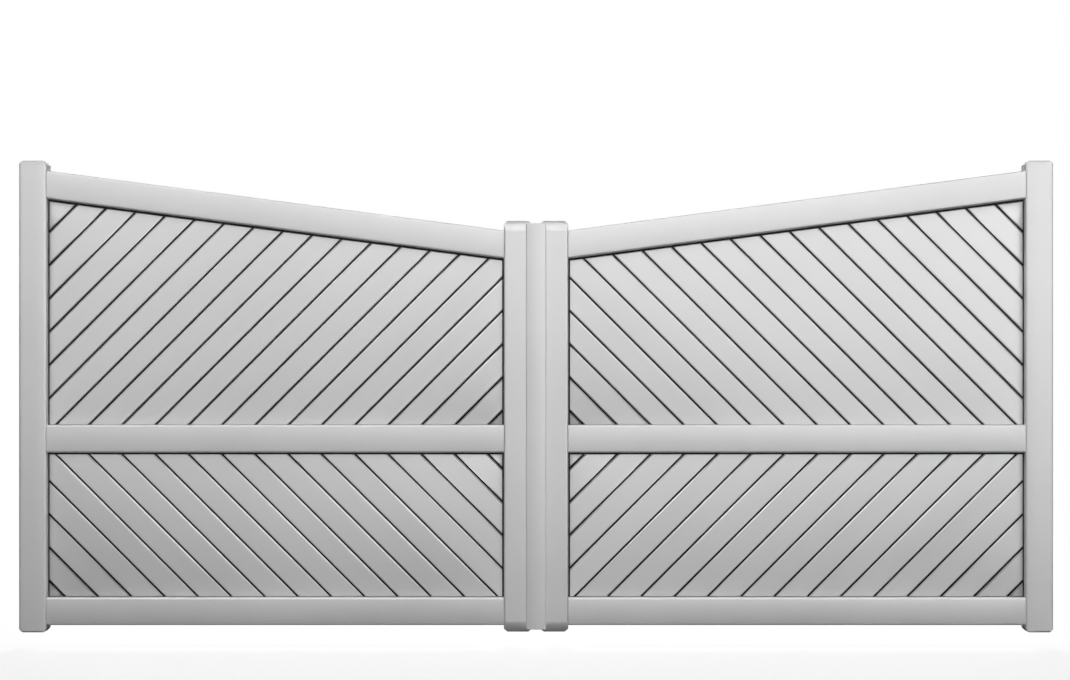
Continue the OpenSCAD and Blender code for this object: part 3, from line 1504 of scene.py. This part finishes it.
@dataclass(frozen=True)
class Card:
    """A bright, bowl-shaped card, whose glow changes across and up it.

    Azimuth and elevation are its ends in degrees, from straight in front. The
    terms of its glow are plain, by right, by up, by right squared, by up squared
    and by both.
    """

    name: str
    azimuth: Point2
    elevation: Point2
    terms: tuple[float, ...]


@dataclass
class Studio:
    """Floor, background, cards, lamps and camera."""

    gate: GateFrame
    ground_drop: float = 0.05
    floor_size: float = 60.0
    floor_level: float = 0.30
    floor_bounce: float = 0.12
    floor_glow: float = 0.80
    floor_fade: Point2 = (2.2, 5.0)
    ambient: float = 0.05
    card_height: float = 0.8
    card_radius: float = 14.0
    cards: tuple[Card, ...] = (
        Card(
            "studio_front_card", (-55.0, 58.0), (-8.0, 28.0), (7.6, 7.0, -6.5, 9.0, -2.1, -9.7)
        ),
        Card(
            "studio_high_card", (-110.0, 110.0), (28.0, 84.0), (9.0, -2.0, 0.0, 10.0, 0.0, 0.0)
        ),
    )
    dark_level: float = 0.02
    dark_x: float = 3.2
    dark_rear: float = 5.2
    dark_top: float = 3.9
    dark_lift: float = 0.01
    dark_fronts: tuple[float, ...] = (-1.6, 0.9, -0.5, -0.9)
    camera_distance: float = 4.65
    camera_height: float = 0.798
    sensor: float = 36.0
    lens: float = 46.3
    shift: Point2 = (-0.001, 0.0528)

    def at(self, x: float, y: float, z: float) -> Vector:
        """A point from the gate's middle, front and foot, in the row frame."""
        return Vector((self.gate.middle_x + x, self.gate.front_y + y, self.gate.base_z + z))

    def build(self) -> None:
        """Sets up the whole studio and shows colours as they are written."""
        bpy.context.scene.view_settings.view_transform = "Standard"
        self._floor()
        self._world()
        for card in self.cards:
            self._bright_card(card)
        self._dark_cards()
        self._lamps()
        self._camera()

    def _seen(self, shading: Shading) -> Value:
        """1 for the camera's rays and those that mirror or pass through."""
        path = shading.node("ShaderNodeLightPath").outputs
        camera = Value(shading, path["Is Camera Ray"])
        glossy = Value(shading, path["Is Glossy Ray"])
        through = Value(shading, path["Is Transmission Ray"])
        return shading.maths("MINIMUM", camera + glossy + through, 1.0)

    def _floor(self) -> None:
        """A wide pale floor that keeps the gate's shadow."""
        material, shading = new_material("studio_floor")
        middle = self.at(0.0, 0.0, -self.ground_drop)
        bright = shading.node(
            "ShaderNodeAddShader",
            inputs={0: shading.matt(self.floor_level), 1: shading.glow(self.floor_glow)},
        )
        distance = shading.vector("DISTANCE", {0: shading.place(), 1: middle})
        far = shading.ramp(Value(shading, distance.outputs["Value"]), *self.floor_fade)
        faded = shading.blend(far, bright.outputs[0], shading.glow(1.0))
        dull = shading.matt(self.floor_bounce)
        shading.show(shading.blend(self._seen(shading), dull, faded))
        mesh = bmesh.new()
        bmesh.ops.create_grid(mesh, x_segments=2, y_segments=2, size=self.floor_size)
        mesh.transform(Matrix.Translation(middle))
        self._stage("studio_floor", mesh, material)

    def _world(self) -> None:
        """A white background with a plain, low light of its own."""
        world = bpy.data.worlds.new("studio_world")
        bpy.context.scene.world = world
        world.use_nodes = True
        shading = Shading(world.node_tree)
        light, white = (
            shading.glow(strength, "ShaderNodeBackground") for strength in (self.ambient, 1.0)
        )
        shown = shading.blend(self._seen(shading), light, white)
        shading.show(shown, "ShaderNodeOutputWorld")

    def _dark_cards(self) -> None:
        """Hangs flat dark cards round the gate, which outline its edges."""
        dark, shading = new_material("studio_dark_card")
        shading.show(shading.matt(self.dark_level))
        x, back, top = self.dark_x, self.dark_rear, self.dark_top
        low = self.dark_lift - self.ground_drop
        left, right, over, under = self.dark_fronts
        cards = {
            "left": ((-x, left, low), (-x, back, low), (-x, back, top), (-x, left, top)),
            "right": ((x, right, low), (x, back, low), (x, back, top), (x, right, top)),
            "top": ((-x, over, top), (x, over, top), (x, back, top), (-x, back, top)),
            "rear": ((-x, back, low), (x, back, low), (x, back, top), (-x, back, top)),
            "foot": ((-x, under, low), (x, under, low), (x, back, low), (-x, back, low)),
        }
        for word, corners in cards.items():
            mesh = bmesh.new()
            mesh.faces.new([mesh.verts.new(self.at(*corner)) for corner in corners])
            self._hang(f"studio_dark_{word}", mesh, dark)

    def _bright_card(self, card: Card) -> None:
        """Hangs a bright card."""
        material, shading = new_material(card.name)
        centre = self.at(0.0, 0.0, self.card_height)
        away = shading.vector("SUBTRACT", {0: shading.place(), 1: centre})
        unit = shading.vector("NORMALIZE", {0: away.outputs[0]})
        parts = shading.node("ShaderNodeSeparateXYZ", inputs={0: unit.outputs[0]}).outputs
        right = Value(shading, parts["X"])
        up = Value(shading, parts["Z"])
        plain, by_right, by_up, by_right_2, by_up_2, by_both = card.terms
        level = plain + right * (by_right + by_right_2 * right + by_both * up)
        level = level + up * (by_up + by_up_2 * up)
        shading.show(shading.glow(shading.maths("MAXIMUM", level, 0.0)))
        mesh = bmesh.new()
        bmesh.ops.create_grid(mesh, x_segments=40, y_segments=24, size=1.0)
        for vert in mesh.verts:
            turn = self._between(card.azimuth, vert.co.x)
            climb = self._between(card.elevation, vert.co.y)
            reach = self.card_radius * math.cos(climb)
            height = self.card_radius * math.sin(climb)
            vert.co = centre + Vector((reach * math.sin(turn), -reach * math.cos(turn), height))
        self._hang(card.name, mesh, material)

    def _between(self, degrees: Point2, share: float) -> float:
        """The angle in radians for a share that runs from -1 to 1."""
        low, high = degrees
        return math.radians((low + high) / 2 + share * (high - low) / 2)

    def _hang(self, name: str, mesh: bmesh.types.BMesh, material: bpy.types.Material) -> None:
        """Adds a card that shows only in the gate's gloss."""
        card = self._stage(name, mesh, material)
        card.visible_camera = False
        card.visible_diffuse = False
        card.visible_transmission = False
        card.visible_shadow = False

    def _stage(
        self, name: str, mesh: bmesh.types.BMesh, material: bpy.types.Material
    ) -> bpy.types.Object:
        """Adds a mesh of the studio, which isn't a piece of the gate."""
        data = bpy.data.meshes.new(name)
        mesh.to_mesh(data)
        mesh.free()
        data.materials.append(material)
        staged = bpy.data.objects.new(name, data)
        bpy.context.scene.collection.objects.link(staged)
        return staged

    def _lamp(
        self, name: str, watts: float, place: Vector, target: Vector, settings: dict[str, Any]
    ) -> None:
        """Adds a lamp.

        Args:
            name: the lamp's name.
            watts: its power.
            place: where it hangs.
            target: the point that it shines at.
            settings: its shape, or its cone and size.
        """
        data = bpy.data.lights.new(name, "AREA" if "shape" in settings else "SPOT")
        data.energy = watts
        for key, setting in settings.items():
            setattr(data, key, setting)
        lamp = bpy.data.objects.new(name, data)
        lamp.location = place
        lamp.rotation_euler = (target - lamp.location).to_track_quat("-Z", "Y").to_euler()
        bpy.context.scene.collection.objects.link(lamp)

    def _lamps(self) -> None:
        """A low front lamp, a high one that fills, a rear lamp and two side lamps."""
        spot = {"spot_size": math.radians(34.0), "spot_blend": 1.0, "shadow_soft_size": 0.8}
        fill = {**spot, "use_shadow": False}
        rear = {"shape": "RECTANGLE", "size": 5.0, "size_y": 4.0}
        beside = {"shape": "RECTANGLE", "size": 3.0, "size_y": 3.0}
        self._lamp("front", 4500.0, self.at(0.6, -24.8, 5.2), self.at(0.2, 0.0, 4.6), spot)
        self._lamp("fill", 7600.0, self.at(0.6, -22.4, 12.0), self.at(0.2, 0.0, 4.4), fill)
        self._lamp("rear", 800.0, self.at(0.0, 9.0, 6.0), self.at(0.0, 0.0, 0.6), rear)
        for side in Side:
            place = self.at(side.value * 9.0, 4.0, 3.0)
            self._lamp(f"{side.word}_side", 100.0, place, self.at(0.0, 0.0, 0.8), beside)

    def _camera(self) -> None:
        """A level camera straight in front of the gate."""
        data = bpy.data.cameras.new("camera")
        data.sensor_width = self.sensor
        data.lens = self.lens
        data.shift_x, data.shift_y = self.shift
        camera = bpy.data.objects.new("camera", data)
        camera.location = self.at(0.0, -self.camera_distance, self.camera_height)
        camera.rotation_euler = (math.pi / 2, 0.0, 0.0)
        bpy.context.scene.collection.objects.link(camera)
        bpy.context.scene.camera = camera


def finishes() -> dict[Slot, bpy.types.Material]:
    """Makes the gate's materials.

    Returns:
        The material of each slot.
    """
    paint = (0.60, 0.60, 0.605)
    coats = {
        Slot.FRAME: PowderCoat("satin_grey_frame", paint),
        Slot.BOARD: BoardCoat("satin_grey_board", paint),
        Slot.STRIP: PowderCoat("satin_grey_strip", paint),
        Slot.CAP: MouldedCap("moulded_grey_cap", paint),
        Slot.STEEL: BrushedSteel("brushed_steel", (0.36, 0.37, 0.385)),
        # Near black for the beads that paint the shadow lines round the panels.
        Slot.SEAL: ShadowBeadRubber("black_shadow_bead_rubber", (0.010, 0.010, 0.011)),
    }
    return {slot: coat.material() for slot, coat in coats.items()}


def main() -> None:
    """Builds the gate's pieces in order, then the studio."""
    logging.basicConfig(level=logging.INFO, format="%(name)s: %(message)s")
    gate = GateFrame.measure()
    shop = Workshop(gate, finishes())
    row = CopyRow()
    for side in Side:
        Leaf(shop, side, row).build()
        for place in Place:
            Hinge(shop, side, place, row).build()
    CoverStrip(shop).build()
    Studio(gate).build()
    LOG.info("%d pieces", shop.count)


if __name__ == "__main__":
    main()
